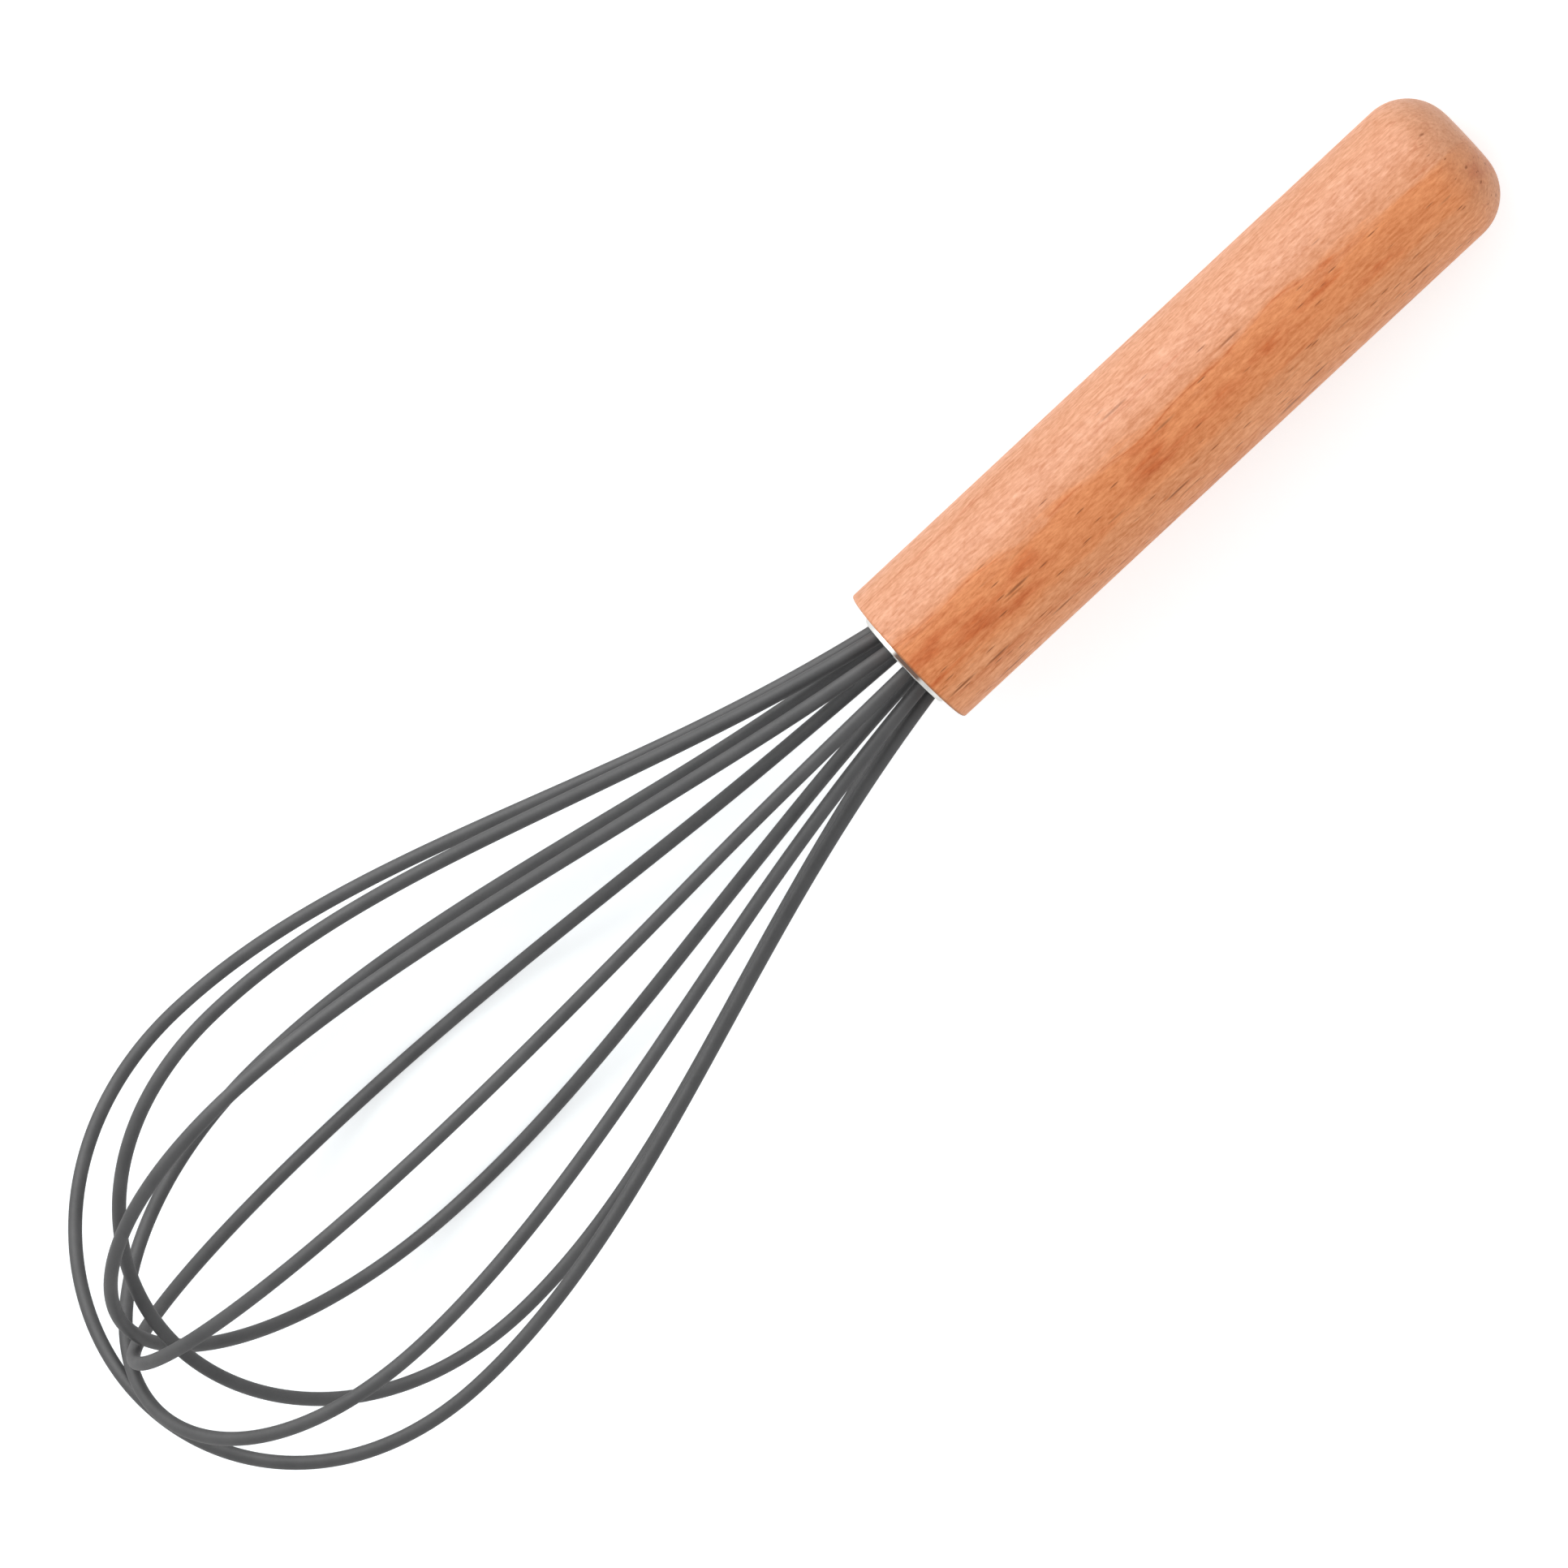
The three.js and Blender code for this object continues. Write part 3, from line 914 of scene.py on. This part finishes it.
def loop_path(loop, tip):
    """A loop's centre line on the table, from one end of its cover to the other."""
    up_leg = leg_outline(loop["fatness"] * BALLOON_RADIUS, loop["belly"] * tip, tip)
    down_leg = [Vector((-point.x, point.y)) for point in reversed(up_leg[:-1])]
    return [bent_point(loop, point, tip) for point in up_leg + down_leg]


print("balloon radius in mm:", in_mm([BALLOON_RADIUS]))

# %% [markdown]
# Five loops
#
# The loops stand in five planes and cross at the tip, where each crown passes over the next one. Five
# equal loops turned about the axis would collide there and look machine made. So each has numbers of
# its own: the angle of its plane, its fatness, the place of its belly, the step of its tip over the
# next loop's, its bow, and how far its tip strays, in cover diameters.

# %% Five loops
INNERMOST_TIP = 147.7 * MM
LOOPS = [
    dict(plane=153.4, fatness=1.037, belly=0.741, step=0.71, bow=0.07, across=-0.44, up=-2.55),
    dict(plane=127.9, fatness=0.991, belly=0.736, step=1.29, bow=-0.28, across=-1.88, up=0.66),
    dict(plane=99.6, fatness=0.923, belly=0.681, step=1.24, bow=0.09, across=0.59, up=0.99),
    dict(plane=64.3, fatness=1.04, belly=0.726, step=1.48, bow=0.5, across=1.64, up=0.96),
    dict(plane=34.4, fatness=1, belly=0.736, step=0, bow=0.23, across=-1.2, up=0.18),
]

tip = INNERMOST_TIP
for number in reversed(range(len(LOOPS))):
    loop = LOOPS[number]
    tip += loop["step"] * COVER_DIAMETER
    loop["name"] = f"loop_{number + 1}"
    loop["path"] = loop_path(loop, tip)
    print(loop["name"], "tip in mm:", in_mm([tip]), "points:", len(loop["path"]))

# %% [markdown]
# A tube that follows a path
#
# Cover and wire are both a round section drawn along the loop's path. A curve with a bevel would do,
# but Geometry Nodes make the steps visible: resample the path evenly, sweep a circle along it, smooth
# it. One tree with a few named inputs makes all ten.

# %% Inputs of the tree
SWEEP_SOCKETS = {
    "Path": "NodeSocketGeometry",
    "Diameter": "NodeSocketFloat",
    "Points Along": "NodeSocketInt",
    "Points Around": "NodeSocketInt",
    "Closed Ends": "NodeSocketBool",
    "Finish": "NodeSocketMaterial",
}
SWEEP = bpy.data.node_groups.new("round_section_along_path", "GeometryNodeTree")
SWEEP_INPUTS = {}
for label, kind in SWEEP_SOCKETS.items():
    socket = SWEEP.interface.new_socket(name=label, in_out="INPUT", socket_type=kind)
    SWEEP_INPUTS[label] = socket.identifier
SWEEP.interface.new_socket(name="Tube", in_out="OUTPUT", socket_type="NodeSocketGeometry")
print("tree inputs:", SWEEP_INPUTS)

# %% Nodes of the tree
given = add_node(SWEEP, "NodeGroupInput").outputs
even = {"Curve": given["Path"], "Count": given["Points Along"]}
path = add_node(SWEEP, "GeometryNodeResampleCurve", even, mode="COUNT").outputs["Curve"]
section = {"Resolution": given["Points Around"], "Radius": multiply(SWEEP, given["Diameter"], 0.5)}
circle = add_node(SWEEP, "GeometryNodeCurvePrimitiveCircle", section, mode="RADIUS").outputs["Curve"]
sweep = {"Curve": path, "Profile Curve": circle, "Fill Caps": given["Closed Ends"]}
tube = add_node(SWEEP, "GeometryNodeCurveToMesh", sweep).outputs["Mesh"]
smooth = add_node(SWEEP, "GeometryNodeSetShadeSmooth", {"Geometry": tube}).outputs["Geometry"]
real = add_node(SWEEP, "GeometryNodeRealizeInstances", {"Geometry": smooth}).outputs["Geometry"]
painting = {"Geometry": real, "Material": given["Finish"]}
painted = add_node(SWEEP, "GeometryNodeSetMaterial", painting).outputs["Geometry"]
add_node(SWEEP, "NodeGroupOutput", {"Tube": painted})
print("tree nodes:", len(SWEEP.nodes))

# %% [markdown]
# From tree to mesh
#
# The tree works as a modifier on a curve. A finished piece has to be a plain mesh, so the curve is
# evaluated once, its result is kept and the curve is thrown away. A swept tube may come out with its
# faces inwards, so they are turned outwards.

# %% Sweeping a path


def draw_path(name, path):
    """A curve of straight stretches through the points of a path."""
    curve = bpy.data.curves.new(name, "CURVE")
    curve.dimensions = "3D"
    spline = curve.splines.new("POLY")
    spline.points.add(len(path) - 1)
    for point, place in zip(spline.points, path):
        point.co = (*place, 1)
    return add_object(name, curve)


def finished_mesh(item):
    """The plain mesh that an object's modifiers make."""
    bpy.context.view_layer.update()
    return bpy.data.meshes.new_from_object(item.evaluated_get(bpy.context.evaluated_depsgraph_get()))


def swept_piece(name, path, **inputs):
    """A plain mesh that the tree sweeps along a path, with its faces outwards."""
    drawn = draw_path(name + "_path", path)
    modifier = drawn.modifiers.new("sweep", "NODES")
    modifier.node_group = SWEEP
    for label, value in inputs.items():
        modifier[SWEEP_INPUTS[label.replace("_", " ")]] = value
    data = finished_mesh(drawn)
    data.name = name
    curve = drawn.data
    bpy.data.objects.remove(drawn)
    bpy.data.curves.remove(curve)
    mesh = bmesh.new()
    mesh.from_mesh(data)
    bmesh.ops.recalc_face_normals(mesh, faces=mesh.faces)
    mesh.to_mesh(data)
    mesh.free()
    return add_object(name, data)


print("helpers made:", [helper.__name__ for helper in (draw_path, finished_mesh, swept_piece)])

# %% [markdown]
# Covers
#
# The covers are silicone sleeves on the steel wires. They could be solid rods, since only their ends
# show that they aren't. But those ends can be seen in the mouth, so a cover is swept with open ends and
# then given its wall inwards.

# %% Covers
ALONG_COUNT = 260
COVER_AROUND = 24
WIRE_DIAMETER = 1.2 * MM
WIRE_CLEARANCE = 0.12 * MM
cover_wall = (COVER_DIAMETER - WIRE_DIAMETER) / 2 - WIRE_CLEARANCE


def make_cover(loop):
    cover = swept_piece(
        loop["name"] + "_silicone_cover",
        loop["path"],
        Diameter=COVER_DIAMETER,
        Points_Along=ALONG_COUNT,
        Points_Around=COVER_AROUND,
        Closed_Ends=False,
        Finish=SILICONE,
    )
    wall = cover.modifiers.new("wall", "SOLIDIFY")
    wall.thickness = cover_wall
    wall.offset = -1
    data = finished_mesh(cover)
    cover.modifiers.clear()
    cover.data = data
    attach(cover, "root")
    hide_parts(loop["name"] + "_cover")
    return cover


print("cover wall in mm:", in_mm([cover_wall]))

# %% [markdown]
# Wires
#
# The spring of the whisk is the steel inside the covers. It could be left out, since the covers hide
# nearly all of it, but its bare ends can be seen in the mouth. A wire follows the same path as its cover,
# lengthened straight down into the resin at both ends. The same tree sweeps it, thinner and with closed
# ends.

# %% Wires
WIRE_AROUND = 12
bare_end = (FERRULE_DEPTH - COVER_DEPTH) * along


def make_wire(loop):
    wire = swept_piece(
        loop["name"] + "_spring_wire",
        [loop["path"][0] - bare_end, *loop["path"], loop["path"][-1] - bare_end],
        Diameter=WIRE_DIAMETER,
        Points_Along=ALONG_COUNT,
        Points_Around=WIRE_AROUND,
        Closed_Ends=True,
        Finish=SPRING_STEEL,
    )
    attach(wire, "root")
    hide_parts(loop["name"] + "_wire")
    return wire


for loop in LOOPS:
    cover = make_cover(loop)
    wire = make_wire(loop)
    print(cover.name, len(cover.data.polygons), "faces,", wire.name, len(wire.data.polygons), "faces")

# %% [markdown]
# Resin plug
#
# Resin, cast into the ferrule, holds the bare ends of the wires. The plug could be made again as the
# other pieces are. But its solid already has the right shape, a disc with a hole for each wire end, so
# it stays and only gets its finish.

# %% Resin plug
plug = frame["nodes"]["resin_plug"]
plug.data.materials.clear()
plug.data.materials.append(RESIN)
print("kept", plug.name, "with", len(plug.data.polygons), "faces")

# %% [markdown]
# Table finish
#
# The photograph has a pure white ground. A white table under soft light is nearly white already. More
# light would bleach the whisk, so a little glow that only the camera sees, straight or in a reflection,
# lifts the table the rest of the way. No extra light falls on the whisk, and the table still darkens
# under it. The wood throws some orange onto the table, so the camera sees a table that is slightly cool,
# which keeps the shadow a plain grey.

# %% Table finish
TABLE_GLOW = 0.44
COOL_WHITE = (0.82, 0.87, 0.89, 1)
DARK_TABLE = (0.86, 0.86, 0.86)
LIGHT_TABLE = (0.88, 0.88, 0.88)
TABLE_CLOUD_SCALE = 8


def seen_directly(tree):
    """1 where the camera looks, straight or by way of a mirror or glass, and 0 elsewhere."""
    rays = add_node(tree, "ShaderNodeLightPath").outputs
    reflected = math_node(tree, "MAXIMUM", rays["Is Glossy Ray"], rays["Is Transmission Ray"])
    return math_node(tree, "MAXIMUM", rays["Is Camera Ray"], reflected)


def table_finish():
    material, tree, shader = new_material("white_table")
    place = add_node(tree, "ShaderNodeTexCoord").outputs["Object"]
    clouds = noise(tree, place, TABLE_CLOUD_SCALE, detail=2, roughness=0.5)
    white = two_tones(tree, clouds, DARK_TABLE, LIGHT_TABLE)
    camera_ray = add_node(tree, "ShaderNodeLightPath").outputs["Is Camera Ray"]
    color = blend_colors(tree, camera_ray, white, COOL_WHITE)
    plug_in(tree, shader, {"Base Color": color, "Roughness": 0.9, "Specular IOR Level": 0.0})
    glow_strength = multiply(tree, seen_directly(tree), TABLE_GLOW)
    glow = add_node(tree, "ShaderNodeEmission", {"Strength": glow_strength}).outputs["Emission"]
    both = add_node(tree, "ShaderNodeAddShader", {0: shader.outputs["BSDF"], 1: glow})
    output = next(node for node in tree.nodes if node.type == "OUTPUT_MATERIAL")
    plug_in(tree, output, {"Surface": both.outputs["Shader"]})
    return material


TABLE_WHITE = table_finish()
print("made", TABLE_WHITE.name, "with a glow of", TABLE_GLOW)

# %% [markdown]
# Table
#
# The table is a single large square just under the whisk. A sheet that curves up behind it would hide
# its far edge, but against a white room that edge hardly shows. The table belongs to the stage and not
# to the object, and the frame is told so.

# %% Table
TABLE_REACH = 3.0
TABLE_DROP = 0.05 * MM

table_height = cad_box[0].z - TABLE_DROP
sides = [(-1, -1), (1, -1), (1, 1), (-1, 1)]
corners = [(x * TABLE_REACH, y * TABLE_REACH, table_height) for x, y in sides]
table_mesh = bpy.data.meshes.new("table")
table_mesh.from_pydata(corners, [], [(0, 1, 2, 3)])
table_mesh.materials.append(TABLE_WHITE)
table = add_object("table", table_mesh)
table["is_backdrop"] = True
print("table height in mm:", in_mm([table_height]))

# %% [markdown]
# Lamps
#
# A large soft window on the left of the picture models the whisk's roundness. The shine along the left
# of each wire and of the handle is stronger than such a window gives. A brighter lamp would wash out
# the colours, so a second one works like a photographer's reflector: it shows in reflections only.

# %% Lamps
LAMP_TARGET = Vector((0.0, 0.0, 0.03))
WINDOW = dict(place=(0.0, 0.65, 0.55), size=(0.9, 0.6), radiance=1.2)
REFLECTOR = dict(place=(0.05, 0.75, 0.40), size=(0.9, 0.75), radiance=5.0)


def soft_light(name, place, size, radiance):
    """A rectangular light with a given brightness of its face, aimed at the whisk."""
    data = bpy.data.lights.new(name, "AREA")
    data.shape = "RECTANGLE"
    data.size, data.size_y = size
    data.energy = radiance * math.pi * size[0] * size[1]
    light = add_object(name, data)
    light.location = place
    light.rotation_euler = (LAMP_TARGET - Vector(place)).to_track_quat("-Z", "Y").to_euler()
    return light


soft_light("left_window", **WINDOW)
sheen = soft_light("left_sheen", **REFLECTOR)
sheen.visible_diffuse = False

# %% [markdown]
# White room
#
# White surroundings light the whisk evenly from all sides. They could be built as walls. A plain world
# does the same: pure white where the camera sees it, straight or in the steel, and a little dimmer as a
# light, so that colours render about as they are written.

# %% White room
WORLD_STRENGTH = 0.80

world = bpy.data.worlds.new("white_room")
bpy.context.scene.world = world
world.use_nodes = True
room = world.node_tree
room.nodes.clear()
strength = math_node(room, "MAXIMUM", seen_directly(room), WORLD_STRENGTH)
shine = {"Color": (1, 1, 1, 1), "Strength": strength}
background = add_node(room, "ShaderNodeBackground", shine).outputs["Background"]
add_node(room, "ShaderNodeOutputWorld", {"Surface": background})
bpy.context.scene.view_settings.view_transform = "Standard"
print("world:", world.name, "at a strength of", WORLD_STRENGTH)

# %% [markdown]
# Sizes
#
# The box of the dressed whisk is printed, to set beside the box of the solids printed at the start.
# The dressed whisk has to fill the same box as its solids.

# %% Sizes and finish
visual_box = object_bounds()
print("box in mm:", in_mm(visual_box[1] - visual_box[0]))
